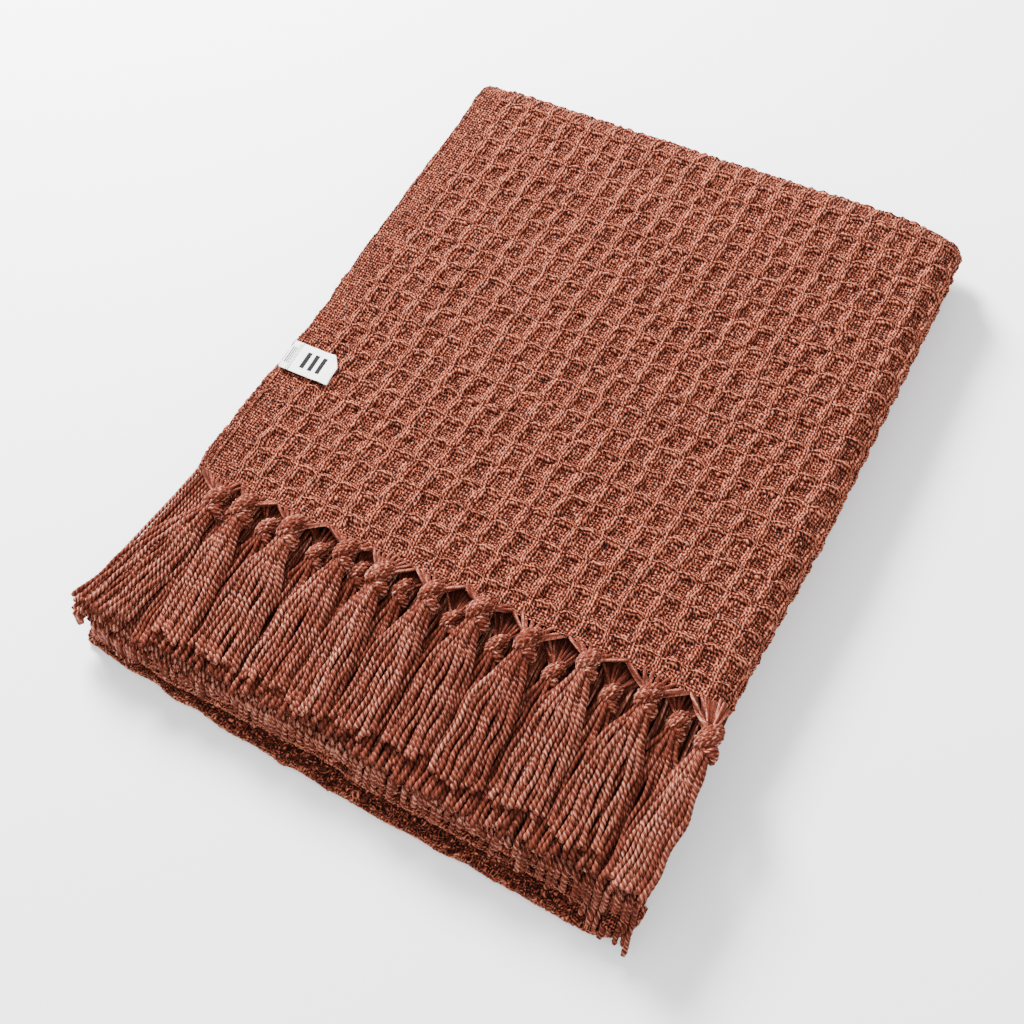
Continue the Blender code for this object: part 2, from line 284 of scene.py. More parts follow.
def cloth_finish():
    """Twisted cotton in a weave: painted shade in the pits, a painted highlight on the crowns, and its
    twist's streaks painted in light and shade.
    """
    finish = Finish("waffle_cotton", 0.88, 0.04, (0.95, 0.50, 0.36))
    warp, weft = finish.uv()
    tone = finish.value("tone")
    lie = finish.value("lie")
    crown_warp = (warp * TURN).cosine() * 0.5 + 0.5
    crown_weft = (weft * TURN).cosine() * 0.5 + 0.5
    crown = crown_warp * lie + crown_weft * (1 - lie)
    pit = (1 - crown_warp) * (1 - crown_weft)
    over = (warp * 5.0 + weft * 5.6).sine() * lie
    under = (warp * 5.6 + weft * 5.0).sine() * (1 - lie)
    streak = over + under
    long_warp = finish.noise(finish.vector(warp * 2.6 + weft * 0.9, weft * 0.7), 1.0)
    long_weft = finish.noise(finish.vector(warp * 0.7, weft * 2.6 + warp * 0.9), 1.0)
    fuzz = long_warp * lie + long_weft * (1 - lie)
    patch = finish.noise(finish.vector(warp, weft), 0.11)
    speck = finish.node("ShaderNodeTexWhiteNoise", {"noise_dimensions": "2D"},
                        {"Vector": finish.vector(warp.math("ROUND"), weft.math("ROUND"))})
    # Painted light: a painted highlight on the crowns, painted shade in the pits, and the twist's
    # streaks in painted light and shade; the specks are random tone.
    painted_light_and_speck = (crown - 0.5) * 0.30 - pit * 0.42 + streak * 0.22 + (speck - 0.5) * 0.30
    shade = tone + painted_light_and_speck + (fuzz - 0.5) * 1.05 + (patch - 0.5) * 0.20
    colour = finish.node("ShaderNodeValToRGB", {"ramp": COTTON}, [shade])
    finish.feed("Base Color", colour)
    finish.feed("Roughness", 0.82 + fuzz * 0.14)
    finish.bump(crown + fuzz * 0.4 + streak * 0.25 - pit * 0.6, 0.0007, 0.9)
    return finish.material


def cord_finish():
    """A two-ply cotton cord: painted shade between its plies, with fine fibres that follow the twist.
    """
    finish = Finish("fringe_cotton", 0.86, 0.04, (0.95, 0.50, 0.36))
    around, along = finish.uv()
    tone = finish.value("tone")
    slant = around * 2.0 - along * 2.0
    fibre = finish.noise(finish.vector(slant * 9.0, along * 1.4, around), 1.0)
    patch = finish.noise(finish.vector(around * 0.2, along * 0.35), 1.0, 1.0)
    shade = tone + (fibre - 0.5) * 1.25 + (patch - 0.5) * 0.16
    colour = finish.node("ShaderNodeValToRGB", {"ramp": CORDED}, [shade])
    finish.feed("Base Color", colour)
    finish.bump(fibre, 0.00035, 0.7)
    return finish.material


def ribbon_finish():
    """White woven ribbon: fine ribs across it, and three plain dark bars woven in."""
    finish = Finish("label_ribbon", 0.70, 0.0, (1.0, 1.0, 1.0))
    along, across = finish.uv()
    rib = (along * 260.0).sine() * 0.5 + 0.5
    weft = (across * 150.0).sine() * 0.5 + 0.5
    middle = along - 0.44
    inside_along = ((0.27 - middle.math("ABSOLUTE")) * 60.0).clamped()
    inside_across = ((0.30 - (across - 0.5).math("ABSOLUTE")) * 60.0).clamped()
    bars = ((middle * (TURN / 0.20)).cosine() * 9.0 + 2.0).clamped()
    mark = inside_along * inside_across * bars
    # The ribs' darker lines are painted shade between them.
    cloth = finish.mix(rib * 0.35, (0.86, 0.86, 0.85), (0.74, 0.74, 0.735))
    finish.feed("Base Color", finish.mix(mark, cloth, (0.004, 0.004, 0.005)))
    finish.bump(rib + weft * 0.5, 0.00008, 0.6)
    return finish.material


def thread_finish():
    """Pale sewing thread with a fine twist, painted shade in its grooves."""
    finish = Finish("label_thread", 0.6, 0.2, (1.0, 1.0, 1.0))
    around, along = finish.uv()
    turn = (around * 6.28 * 2 + along * 40.0).sine() * 0.5 + 0.5
    finish.feed("Base Color", finish.mix(turn * 0.4, (0.76, 0.75, 0.73), (0.52, 0.51, 0.49)))
    return finish.material


# ---------------------------------------------------------------- gathering a piece

class Form:
    """Points and faces of one piece as they gather, with a UV pair, a tone and a lie per point."""

    def __init__(self):
        self.count = 0
        self.points, self.uv, self.tone, self.lie = [], [], [], []
        self.loops, self.sizes = [], []

    def take(self, points, uv, tone, lie, faces):
        """Add points and their values, and faces as arrays of equal-sided rings of indices."""
        number = points.reshape(-1, 3).shape[0]
        self.points.append(points.reshape(-1, 3))
        self.uv.append(np.broadcast_to(uv, (*points.shape[:-1], 2)).reshape(-1, 2))
        for store, value in ((self.tone, tone), (self.lie, lie)):
            store.append(np.broadcast_to(value, points.shape[:-1]).ravel())
        for ring in faces:
            self.loops.append((ring + self.count).ravel())
            self.sizes.append(np.full(len(ring), ring.shape[1]))
        self.count += number

    def sheet(self, points, uv, tone=0.5, lie=0.5, flip=False, wrap=False):
        """A grid of points (rows, columns) as quads. Wrapped, it is a tube with shut ends."""
        rows, columns = points.shape[:2]
        index = np.arange(rows * columns).reshape(rows, columns)
        ends = []
        if wrap:
            ends = [index[:1, ::-1], index[-1:]]
            index = np.hstack([index, index[:, :1]])
        quads = np.stack([index[:-1, :-1], index[:-1, 1:], index[1:, 1:], index[1:, :-1]], axis=-1)
        quads = quads.reshape(-1, 4)
        self.take(points, uv, tone, lie, [quads[:, ::-1] if flip else quads, *ends])

    def tubes(self, lines, radius, sides, lobe=0.0, twist=TWIST, tone=0.5, up=(0.0, 0.0, 1.0)):
        """Tubes along many lines (tube, ring, 3). A ring's radius is r (1 + lobe cos 2(a - w)),
        where a goes round and w grows with length, one turn per twist. Ends are rounded shut."""
        tubes, rings = lines.shape[:2]
        ahead = np.gradient(lines, axis=1)
        pace = np.linalg.norm(ahead, axis=-1, keepdims=True)
        ahead = ahead / np.maximum(pace, 1e-9)
        side = np.cross(ahead, np.broadcast_to(np.array(up, float), ahead.shape))
        side /= np.maximum(np.linalg.norm(side, axis=-1, keepdims=True), 1e-9)
        rise = np.cross(side, ahead)
        length = np.cumsum(pace[..., 0], axis=1)
        angle = np.linspace(0, TURN, sides, endpoint=False)
        wave = np.cos(2 * (angle[None, None, :] - TURN * length[..., None] / twist))
        radius = np.broadcast_to(radius, (tubes, rings))[..., None]
        ring = radius * (1 + lobe * wave)
        points = (lines[:, :, None, :] + ring[..., None] * (
            np.cos(angle)[None, None, :, None] * side[:, :, None, :]
            + np.sin(angle)[None, None, :, None] * rise[:, :, None, :]))
        uv = np.stack([np.broadcast_to(angle / TURN, wave.shape),
                       np.broadcast_to(length[..., None] / twist, wave.shape)], axis=-1)
        # Painted shade in the grooves between the two plies and a painted highlight on their crowns:
        # the tone follows the lobes.
        shade = np.broadcast_to(tone, (tubes, rings))[..., None] + 1.5 * lobe * wave
        index = np.arange(tubes * rings * sides).reshape(tubes, rings, sides)
        index = np.concatenate([index, index[:, :, :1]], axis=2)
        quads = np.stack([index[:, :-1, :-1], index[:, 1:, :-1], index[:, 1:, 1:], index[:, :-1, 1:]],
                         axis=-1).reshape(-1, 4)
        first = index[:, 0, :-1]
        last = index[:, -1, -2::-1]
        self.take(points, uv, shade, 0.5, [quads, first, last])

    def piece(self, name, material, body, *nodes, slot):
        """The finished piece: smooth, riding on its body, standing for its CAD nodes."""
        mesh = bpy.data.meshes.new(name)
        loops = np.concatenate(self.loops).astype(np.int32)
        sizes = np.concatenate(self.sizes)
        starts = np.concatenate([[0], np.cumsum(sizes)[:-1]]).astype(np.int32)
        mesh.vertices.add(self.count)
        mesh.vertices.foreach_set("co", np.concatenate(self.points).astype(np.float32).ravel())
        mesh.loops.add(len(loops))
        mesh.loops.foreach_set("vertex_index", loops)
        mesh.polygons.add(len(sizes))
        mesh.polygons.foreach_set("loop_start", starts)
        mesh.update(calc_edges=True)
        mesh.validate()
        uv = np.concatenate(self.uv).astype(np.float32)
        layer = mesh.uv_layers.new(name="weave")
        layer.data.foreach_set("uv", uv[loops].ravel())
        for key, store in (("tone", self.tone), ("lie", self.lie)):
            held = mesh.attributes.new(key, "FLOAT", "POINT")
            held.data.foreach_set("value", np.concatenate(store).astype(np.float32))
        mesh.shade_smooth()
        mesh.materials.append(material)
        made = bpy.data.objects.new(name, mesh)
        bpy.context.scene.collection.objects.link(made)
        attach(made, body)
        if nodes:
            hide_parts(*nodes)
        return made


# ---------------------------------------------------------------- the weave

def from_ridge(warp):
    """How many warp yarns a place lies from the middle of the nearest ridge."""
    return np.abs((warp - FIRST_RIDGE + ENDS / 2) % ENDS - ENDS / 2)


def from_rib(weft):
    """How many weft yarns a place lies from the middle of the nearest rib."""
    return np.abs((weft - FIRST_RIB + PICKS / 2) % PICKS - PICKS / 2)


def warp_over(end, pick):
    """+1 where a warp yarn lies over a weft yarn and -1 where it lies under it. Plain weave
    alternates. Ridges are three warp yarns that float over a cell, ribs three weft yarns."""
    across = from_ridge(end)
    along = from_rib(pick)
    plain = 1 - 2 * ((end + pick) % 2)
    state = np.where((along == 1) & (across >= 3), -1, plain)
    state = np.where((across == 2) & (along >= 3), 1, state)
    state = np.where(along == 0, -1, state)
    state = np.where((across <= 1) & (along >= 1), 1, state)
    state = np.where(across == 0, 1, state)
    return np.where((end < BORDER) | (pick < 2), plain, state)


def cell_relief(warp, weft):
    """How high the cloth lies before its yarns are laid, from warp and weft yarn numbers:
    the higher of a ridge across and a rib along, each a smooth hump, over a sunken cell."""
    across = from_ridge(warp)
    along = from_rib(weft)
    ridge = (1 - smooth((across - 0.1) / 2.5)) * (0.66 + 0.34 * smooth(along / 2.8))
    rib = (1 - smooth((along - 0.1) / 1.8)) * (0.62 + 0.30 * smooth((across - 0.6) / 2.6))
    height = FLOOR + (CREST - FLOOR) * np.maximum(ridge, rib)
    waffle = smooth((warp - BORDER + 1) / 3.0) * smooth((weft - 1.0) / 3.0)
    return PLAIN + (height - PLAIN) * waffle


def stray(warp, weft):
    """How far yarns stray from their straight lines, in yarns: a rib bows backwards between
    its ridges, a ridge leans within its cell, and everything wanders a little."""
    cell = (weft - FIRST_RIB) / PICKS
    across = from_ridge(warp)
    along = from_rib(weft)
    inner = smooth((warp - BORDER) / 4.0)
    lean = -0.20 * np.sin(TURN * cell) * (1 - smooth((across - 1) / 2.4)) * inner
    bow = 0.45 * smooth(across / 3.2) * (1 - smooth((along - 0.5) / 3.0)) * inner
    lean = lean + 0.26 * ripple(warp, weft, 6.0, 5) + 0.22 * ripple(warp, weft, 2.0, 6)
    bow = bow + 0.30 * ripple(warp, weft, 6.0, 8) + 0.22 * ripple(warp, weft, 2.0, 9)
    return lean, bow


def weave(warp, weft):
    """Height, tone and lie of the cloth at warp and weft yarn numbers. Each yarn is a round
    crown over its own line that rises and dips as it crosses; the higher one shows."""
    end, pick = np.round(warp), np.round(weft)
    crown_warp = np.sqrt(np.maximum(0.0, 1 - ((warp - end) / 0.54) ** 2))
    crown_weft = np.sqrt(np.maximum(0.0, 1 - ((weft - pick) / 0.54) ** 2))
    before, share = np.floor(weft), weft - np.floor(weft)
    blend = (1 - np.cos(math.pi * share)) / 2
    lift_warp = warp_over(end, before) * (1 - blend) + warp_over(end, before + 1) * blend
    before, share = np.floor(warp), warp - np.floor(warp)
    blend = (1 - np.cos(math.pi * share)) / 2
    lift_weft = -(warp_over(before, pick) * (1 - blend) + warp_over(before + 1, pick) * blend)
    high_warp = crown_warp + YARN_SWAY * lift_warp
    high_weft = crown_weft + YARN_SWAY * lift_weft
    rise = np.maximum(high_warp, high_weft)
    chance = np.random.default_rng(2).random((1024, 1024))
    luck = chance[end.astype(int) % 1024, pick.astype(int) % 1024] - 0.5
    height = cell_relief(warp, weft) + YARN_RISE * (rise - 1.2)
    height = height + 0.00030 * ripple(warp, weft, 5.0, 3) + 0.00024 * ripple(warp, weft, 2.3, 4)
    height = height + 0.00045 * luck * rise
    # Painted light: the tone is darker the lower the cloth lies, as painted shade in the cells and
    # between the yarns, and paler on the crowns as a painted highlight; luck adds random tone to each
    # crossing.
    deep = (height - FLOOR) / (CREST - FLOOR + YARN_RISE)
    tone = 0.21 + 0.12 * np.clip(deep, 0, 1.2) + 0.30 * np.clip(rise - 0.6, 0, 1.2) + 0.24 * luck
    lie = smooth((high_warp - high_weft) * 2 + 0.5)
    return height, tone, lie


def straight_left(y):
    """How far the left edge strays from its straight line: a slow wave, a step out at the
    middle and a flare in front."""
    return (0.0012 * np.sin((y + 0.02) * 38.0) - 0.0034 * smooth((0.11 - y) / 0.07)
            - 0.0030 * smooth((0.01 - y) / 0.13))


def narrowing(y):
    """How far the right side draws in towards the fringe."""
    return 0.0045 * smooth((0.04 - y) / 0.15)


def drift(across, y):
    """The ridges' lean: they bow to the left towards the fringe, and hold at both edges."""
    share = np.clip(across, 0, 1)
    return -0.0042 * np.sin(math.pi * share ** 0.6) * smooth((0.22 - y) / 0.34)


def lip_line(x):
    """The frontmost lip seen from above: a parabola, foremost at its peak."""
    share = (x - LEFT) / (RIGHT - LEFT)
    return FRONT + LIP_BACK + LIP_BOW * ((share - LIP_PEAK) / LIP_PEAK) ** 2


def lip_step(number, x):
    """How far a lip lies behind the frontmost one: less at the left, where they close up."""
    share = (x - LEFT) / (RIGHT - LEFT)
    return LIP_STEPS[number] * (0.40 + 0.60 * smooth(share / 0.40))


def sweep(x, t, h, side):
    """Points of a half: flat along t, then round the back fold, where a point h from the inner
    face stands at FOLD_START + h sin q, MIDDLE + h cos q. Side is 1 above the middle, -1 below."""
    straight = FOLD_START - CLOTH_END
    bend = np.clip((t - straight) / HALF, 0, math.pi / 2)
    corner = 1 - 0.42 * smooth((x - RIGHT + 0.055) / 0.055) ** 2
    y = CLOTH_END + np.minimum(t, straight) + h * np.sin(bend) * corner
    return np.stack([x, y, MIDDLE + side * h * np.cos(bend)], axis=-1)


def half_skin(warp, weft, height, side):
    """Outer cloth of a half from its yarn numbers: across, it lies flat and then goes round
    the side fold, x = R sin f and h = R + R cos f. Height is added along its normal. Yarns
    stray less and less towards the cloth's edges."""
    flat = RIGHT - LEFT - SIDE_RADIUS
    lean, bow = stray(warp, weft)
    last_end = (flat + math.pi * SIDE_RADIUS) / WARP_PITCH
    last_pick = (FOLD_START - CLOTH_END + HALF) / WEFT_PITCH
    lean = lean * (smooth(warp / 2.0) * smooth((last_end - warp) / 3))
    bow = bow * smooth(weft / 2.0) * smooth((last_pick - weft) / 6)
    s = (warp + lean) * WARP_PITCH
    t = (weft + bow) * WEFT_PITCH
    turn = np.clip((s - flat) / SIDE_RADIUS, 0, math.pi)
    along = CLOTH_END + np.minimum(t, FOLD_START - CLOTH_END)
    share = np.clip(s / flat, 0, 1)
    x = LEFT + np.minimum(s, flat) + SIDE_RADIUS * np.sin(turn)
    x = x + straight_left(along) * (1 - share) - narrowing(along) * share + drift(share, along)
    rise = SIDE_RADIUS + SIDE_RADIUS * np.cos(turn) + np.cos(turn) * height
    return sweep(x + np.sin(turn) * height, t, rise, side)


def uneven(points):
    """Plump cloth that is nowhere quite flat: a slow lift that fades towards the middle plane."""
    x, y, z = points[..., 0], points[..., 1], points[..., 2]
    level = np.clip((z - MIDDLE) / HALF, 0, 1)
    points[..., 2] += level * (0.0009 * ripple(x, y, 0.16, 11) + 0.0004 * ripple(x, y, 0.05, 12))
    points[..., 0] += 0.0006 * ripple(y, x, 0.07, 13)
    return points


def steps(start, end, step):
    """Yarn numbers from start to end, the last one exactly at the end."""
    return np.append(np.arange(start, end - step / 3, step), end)


def skin_piece(name, cloth, side, warps, wefts, sink=0.0, nodes=()):
    """A piece of a half's outer cloth."""
    weft, warp = np.meshgrid(wefts, warps, indexing="ij")
    height, tone, lie = weave(warp, weft)
    points = half_skin(warp, weft, height - sink, side)
    if side > 0:
        points = uneven(points)
    else:
        share = np.clip((FOLD_START - points[..., 1]) / (FOLD_START - FRONT), 0, 1)
        points[..., 1] += share * (lip_line(points[..., 0]) + UNDER_LIP - FRONT)
        points[..., 2] = np.maximum(points[..., 2], 0.0)
    form = Form()
    form.sheet(points, np.stack([warp, weft], axis=-1), tone, lie, flip=side < 0)
    body = "upper_half" if side > 0 else "lower_half"
    made = form.piece(name, cloth, body, *nodes, slot="waffle_cloth")


def outer_cloth(cloth, fringes):
    """The cloth that shows outside: fine on the upper half, coarser where it faces down."""
    flat = (RIGHT - LEFT - SIDE_RADIUS) / WARP_PITCH
    across = flat + math.pi * SIDE_RADIUS / WARP_PITCH
    straight = (FOLD_START - CLOTH_END) / WEFT_PITCH
    along = straight + math.pi / 2 * HALF / WEFT_PITCH
    front = (FRONT - CLOTH_END) / WEFT_PITCH
    cuts = np.round(np.linspace(0, along, 5)[:-1]).tolist() + [along]
    nodes = ("cloth_upper_leaf_1", "side_fold_upper", "back_fold_upper")
    for number, (start, end) in enumerate(zip(cuts, cuts[1:])):
        skin_piece(f"upper_cloth_{number + 1}", cloth, 1, steps(0, across, STEP),
                   steps(start, end, STEP), nodes=nodes)
        nodes = fringes = ()    # only the first piece stands for the nodes
    bed = round(flat)
    skin_piece("lower_cloth_underside", cloth, -1, steps(0, bed, 1.5), steps(front, straight, 1.5),
               UNDER_SINK, ("side_fold_lower",))
    skin_piece("lower_cloth_side_fold", cloth, -1, steps(bed, across, 0.5), steps(front, straight, 0.5),
               UNDER_SINK)
    skin_piece("lower_cloth_back_fold", cloth, -1, steps(0, across, 0.5), steps(straight, along, 0.5),
               UNDER_SINK, ("back_fold_lower",))


def inner_cloth(cloth):
    """The two faces that lie against each other in the closed packet, seen when it is opened.
    Each reaches the back fold's outermost line, where the two halves meet."""
    inside = 0.004
    for name, side, body in (("upper_inner_face", -1, "upper_half"),
                             ("lower_inner_face", 1, "lower_half")):
        lower = side > 0
        wefts = np.linspace(0, 1, 210 if lower else 160)
        warps = np.linspace(0, 1, 150)
        weft, warp = np.meshgrid(wefts, warps, indexing="ij")
        lip = lip_line(LEFT + warp * (RIGHT - LEFT)) + LIP_STEPS[0] + inside
        start = lip if lower else np.full_like(lip, CLOTH_END)
        y = start + (BACK - start) * weft
        h = np.clip(y - FOLD_START, 0, HALF)
        bulge = np.sqrt(np.maximum(0.0, SIDE_RADIUS ** 2 - (h - SIDE_RADIUS) ** 2))
        slip = np.interp(y, (FRONT + 0.03, 0.0, 0.17), (LOWER_SLIPS[0], 0.014, LOWER_SLIP_BEHIND[0]))
        left = LEFT - (slip - inside if lower else 0)
        x = left + warp * (RIGHT - SIDE_RADIUS + bulge - left - 0.001)
        ends, picks = (x - LEFT) / WARP_PITCH, (y - CLOTH_END) / WEFT_PITCH
        height, tone, lie = weave(np.round(ends), np.round(picks) + DEEP_IN)
        z = MIDDLE + side * (height - INNER_SINK)
        form = Form()
        yarns = np.stack([ends, picks], axis=-1)
        # At rounded yarn numbers every point takes the crowns' tone, painted highlight and all; 0.16
        # less takes that back.
        form.sheet(np.stack([x, y, z], axis=-1), yarns, tone - 0.16, lie, flip=side < 0)
        made = form.piece(name, cloth, body, slot="waffle_cloth")
        flat = (RIGHT - LEFT, BACK - (FRONT if lower else CLOTH_END))


# ---------------------------------------------------------------- the leaves' edges

def rounded_path(corners, pace, width):
    """A path through corner points in steps of pace, its corners rounded by a moving average."""
    corners = np.array(corners, float)
    lengths = np.concatenate([[0], np.cumsum(np.linalg.norm(np.diff(corners, axis=0), axis=1))])
    marks = np.arange(0, lengths[-1], pace)
    line = np.stack([np.interp(marks, lengths, corners[:, axis]) for axis in (0, 1)], axis=1)
    reach = int(width / pace / 2)
    window = np.hanning(2 * reach + 3)[1:-1]
    window /= window.sum()
    before = line[0] + (line[0] - line[1]) * np.arange(reach, 0, -1)[:, None]
    after = line[-1] + (line[-1] - line[-2]) * np.arange(1, reach + 1)[:, None]
    padded = np.vstack([before, line, after])
    return np.stack([np.convolve(padded[:, axis], window, "valid") for axis in (0, 1)], axis=1)


def leaf_edge(name, cloth, body, side, path, middle, inside, groove, node, seed):
    """A leaf's edge: plain cloth that comes out along the leaf's upper face, turns round its
    edge and goes back under. Out and up are a flat run and then a half circle of the leaf's
    half thickness. Along the selvedges a groove parts the two plies; a fold has none."""
    radius = LEAF / 2 - EDGE_GAP
    turn = math.pi * radius
    unrolled = np.concatenate([np.arange(-inside, 0, EDGE_STEP), np.linspace(0, turn, 11),
                               turn + np.arange(1, 5) * EDGE_STEP])
    angle = np.clip(unrolled / radius, 0, math.pi)
    ahead = np.gradient(path, axis=0)
    ahead /= np.linalg.norm(ahead, axis=1, keepdims=True)
    normal = np.stack([ahead[:, 1], -ahead[:, 0]], axis=1)
    lengths = np.linalg.norm(np.diff(path, axis=0), axis=1)
    passed = np.concatenate([[0], np.cumsum(lengths)])
    warp, weft = np.meshgrid(unrolled / WARP_PITCH, passed / WEFT_PITCH + DEEP_IN)
    warp = warp + 0.8 * ripple(warp, weft, 7.0, seed + 2) + 0.5 * ripple(warp, weft, 2.5, seed + 3)
    weft = weft + 0.8 * ripple(warp, weft, 7.0, seed + 4) + 0.5 * ripple(warp, weft, 2.5, seed + 5)
    height, tone, lie = weave(np.clip(warp, -BORDER, BORDER - 2), weft)
    height = (height - PLAIN) * EDGE_RELIEF
    away = np.where(unrolled > turn, unrolled - turn, 0) + np.where(unrolled < 0, -unrolled, 0)
    out = radius * np.sin(angle) - away - radius
    part = np.maximum(0, np.cos(2 * angle - math.pi)) ** 3 * (angle > 0) * (angle < math.pi)
    out = out[None, :] - groove[:, None] * part[None, :]
    up = radius * np.cos(angle)
    out = out + height * np.sin(angle)[None, :]
    up = up[None, :] + height * np.cos(angle)[None, :]
    wave = 0.0008 * ripple(path[:, 0], path[:, 1], 0.028, seed)
    wave = wave + 0.0010 * ripple(path[:, 0], path[:, 1], 0.09, seed + 1)
    out = out + wave[:, None]
    x = path[:, None, 0] + normal[:, None, 0] * out
    t = path[:, None, 1] + normal[:, None, 1] * out
    # Painted shade in the groove between the plies and, by EDGE_SHADE, on the cloth just inside an
    # edge; EDGE_PALE makes the edge's outermost line paler.
    tone = tone - 0.25 * part[None, :] * (groove[:, None] > 0)
    tone = tone + EDGE_PALE * np.sin(angle)[None, :] ** 3 - EDGE_SHADE * smooth(away / 0.003)[None, :]
    points = sweep(x, t, middle + side * up, side)
    points[..., 2] = np.maximum(points[..., 2], 0.0)
    form = Form()
    form.sheet(points, np.stack([warp, weft], axis=-1), tone, lie)
    made = form.piece(name, cloth, body, node, slot="waffle_cloth")


def leaf_edges(cloth):
    """The edges of all eight leaves; in front, the lower ones end in their fold lips and the
    upper ones in their fringes."""
    behind = FOLD_START - CLOTH_END + math.pi / 2 * HALF
    for number in range(LEAVES):
        middle = HALF - LEAF / 2 - number * LEAF_PITCH
        slip = UPPER_SLIPS[number]
        corners = [(LEFT - SLIP_BEHIND[number], behind), (LEFT - SLIP_BEHIND[number], 0.3),
                   (LEFT - slip * 0.6, 0.10), (LEFT - slip, -0.001)]
        path = rounded_path(corners, EDGE_STEP, 0.06)
        path[:, 0] += straight_left(CLOTH_END + path[:, 1])
        inside = 0.0 if number == 0 else UPPER_REACH
        leaf_edge(f"upper_leaf_edge_{number + 1}", cloth, "upper_half", 1, path, middle, inside,
                  np.full(len(path), GROOVE), f"cloth_upper_leaf_{number + 1}", 40 + 10 * number)
        slip = LOWER_SLIPS[number]
        left = LEFT - slip
        xs = np.linspace(left, RIGHT - 0.018, 14)
        front = lip_line(xs) + lip_step(number, xs) - CLOTH_END
        corners = [(LEFT - LOWER_SLIP_BEHIND[number], behind), (LEFT - LOWER_SLIP_BEHIND[number], 0.28),
                   (LEFT - slip * 0.7, 0.08), (left, front[0] + 0.02), *zip(xs, front),
                   (RIGHT - 0.007, front[-1] + 0.004), (RIGHT - 0.0015, front[-1] + 0.013),
                   (RIGHT - 0.0010, front[-1] + 0.024)]
        path = rounded_path(corners, EDGE_STEP, 0.022)
        fold = smooth((path[:, 1] - front[0] - 0.004) / 0.02)
        inside = LOWEST_REACH if number == LEAVES - 1 else LOWER_REACH
        leaf_edge(f"lower_leaf_edge_{number + 1}", cloth, "lower_half", -1, path,
                  LEAF / 2 + number * LEAF_PITCH, inside, GROOVE * fold,
                  f"cloth_lower_leaf_{number + 1}", 80 + 10 * number)


# ---------------------------------------------------------------- the fringe

def fringe_floor(y):
    """Height that the top row lies on, sinking from its knots to its cut ends."""
    share = np.clip((KNOT_Y - y) / TASSEL_LENGTH, 0, 1)
    return TOP - KNOT_SINK - FRINGE_DROP * share


def add_tassel(form, rng, knot, end_x, width, length, floor, count, rings, sides, root, arch, tone):
    """A tassel's cords. They leave the knot in a round bundle, arch up a little, fan out and
    lie down in two layers; each cord keeps its place from left to right."""
    share = np.linspace(0, 1, rings)[None, :]
    order = np.arange(count)
    spin = order * 2.4
    bundle = root * np.sqrt((order + 0.5) / count)
    across, above = bundle * np.cos(spin), bundle * np.sin(spin)
    rank = np.argsort(np.argsort(across))
    spread = (rank + 0.5) / count * 2 - 1 + rng.normal(0, 0.03, count)
    layer = np.where(rank % 2 == 0, 1.0, 0.0) * 1.35 * CORD + rng.uniform(0, 0.5, count) * CORD
    reach = length * (1 + rng.normal(0, 0.022, count) - 0.035 * spread ** 2)
    fan = smooth(share / 0.50) ** 0.75
    x = knot[0] + (end_x - knot[0]) * share + across[:, None] * (1 - fan)
    x = x + spread[:, None] * width / 2 * fan * (0.86 + 0.14 * share)
    pace = rng.uniform(3.5, 7.0, (count, 1))
    x = x + 0.0007 * np.sin(pace * share * 3 + rng.uniform(0, 6.28, (count, 1))) * smooth(share / 0.3)
    y = knot[1] - 0.003 - (reach[:, None] - 0.003) * share
    lie = floor(y) + CORD + layer[:, None] + 0.0010 * (1 - spread[:, None] ** 2)
    settle = smooth(share / 0.42)
    start = knot[2] - 0.0005 + above[:, None]
    z = start * (1 - settle) + lie * settle + arch * np.sin(math.pi * np.clip(share / 0.5, 0, 1)) ** 2
    z = z + 0.0004 * np.sin(pace * share * 4 + 1.0) * share
    radius = cord_radius(rng, count, share, CORD)
    form.tubes(np.stack([x, y, z], axis=-1), radius, sides, lobe=0.13, tone=dyed(rng, count, tone))


def dyed(rng, count, tone):
    """A tone for each cord, as the dye took it."""
    return tone + rng.normal(0, 0.045, (count, 1))


def cord_radius(rng, count, share, radius):
    """Radius along each cord: even, a little swollen at the cut end, and then shut."""
    size = radius * (1 + rng.normal(0, 0.06, (count, 1)))
    swell = 1 + 0.22 * smooth((share - 0.90) / 0.07)
    shut = np.sqrt(np.clip((1.012 - share) / 0.022, 0.0, 1.0))
    return size * swell * shut


def ring_strand(middle, radius, tilt, along):
    """A closed loop round the fringe's direction, tilted, at a distance along it."""
    a = np.linspace(0, TURN, 27)
    x = radius * np.cos(a)
    z = radius * np.sin(a)
    y = along + x * math.tan(tilt) + 0.0004 * np.sin(2 * a)
    return np.stack([middle[0] + x, middle[1] + y, middle[2] + z], axis=-1)


def add_knot(form, rng, middle, size):
    """A fringe knot: a plump core, strands wrapped slantwise round it as its first lobe, and a
    smaller lobe of strands in front of and below that."""
    strands = []
    for number in range(5):
        place = number - 2.0
        girth = size * (0.0052 - 0.00030 * place ** 2)
        strands.append(ring_strand(middle, girth, 0.52, place * 0.0021 * size + 0.0012))
    lower = (middle[0] + 0.0026 * size, middle[1] - 0.0046 * size, middle[2] - 0.0014 * size)
    for number in range(3):
        place = number - 1.0
        girth = size * (0.0041 - 0.0003 * place ** 2)
        strands.append(ring_strand(lower, girth, -0.45, place * 0.0020 * size))
    lines = np.array(strands)
    lines = lines + rng.normal(0, 0.00020, lines.shape)
    lines[:, -1] = lines[:, 0]
    tone = dyed(rng, len(strands), 0.52)
    form.tubes(lines, 0.00142 * size, 8, lobe=0.20, twist=0.0052, tone=tone, up=(0.31, 0.93, 0.17))
    share = np.linspace(-1, 1, 9)
    plump = np.sqrt(np.maximum(1.02 - share ** 2, 0.02))[None, :]
    for centre, girth, length in ((middle, 0.0050, 0.0058), (lower, 0.0039, 0.0040)):
        line = np.tile(centre, (9, 1))
        line[:, 1] += share * length * size
        # The core's low tone is painted shade where it shows between the strands.
        form.tubes(line[None], girth * size * plump, 12, tone=0.2)


